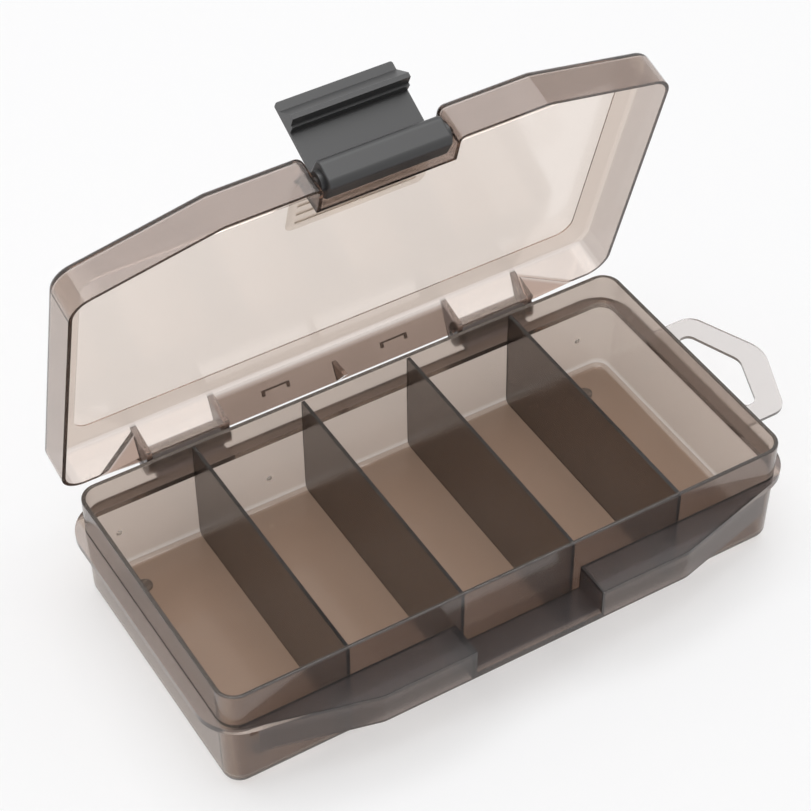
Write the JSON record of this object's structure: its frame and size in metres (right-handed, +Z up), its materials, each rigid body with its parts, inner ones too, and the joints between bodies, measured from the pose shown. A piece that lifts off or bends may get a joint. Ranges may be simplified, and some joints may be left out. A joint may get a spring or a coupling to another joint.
{
  "type": "tackle box",
  "caption": "Flat see-through smoke plastic tackle box with upright dividers, a hinged lid standing open, a flip-over black latch and a flat hang loop at one end.",
  "frame": {"origin": "on the table under the middle of the tray", "axes": "+X along the box towards the hang loop, +Y from the latch side to the hinge side, +Z up"},
  "size_m": [0.1865, 0.1024, 0.1246],
  "materials": {
    "tray_plastic": "see-through, satin",
    "divider_plastic": "see-through, satin",
    "lid_plastic": "see-through, glossy",
    "latch_plastic": "satin",
    "pin_plastic": "plain"
  },
  "bodies": {
    "base": {"base_tray": "tray_plastic", "divider_1": "divider_plastic", "divider_2": "divider_plastic", "divider_3": "divider_plastic", "divider_4": "divider_plastic", "hinge_pin_left": "pin_plastic", "hinge_pin_right": "pin_plastic"},
    "lid": {"lid": "lid_plastic", "latch_pin": "pin_plastic"},
    "latch": {"latch": "latch_plastic"}
  },
  "joints": [
    {"name": "lid_hinge", "type": "hinge", "parent": "base", "child": "lid", "pos_m": [0, 0.0462, 0.026], "axis": [-1, 0, 0], "range_deg": [-74.5, 35.5]},
    {"name": "latch_hinge", "type": "hinge", "parent": "lid", "child": "latch", "pos_m": [0, 0.02387, 0.11569], "axis": [-1, 0, 0], "range_deg": [-167, 0]}
  ]
}
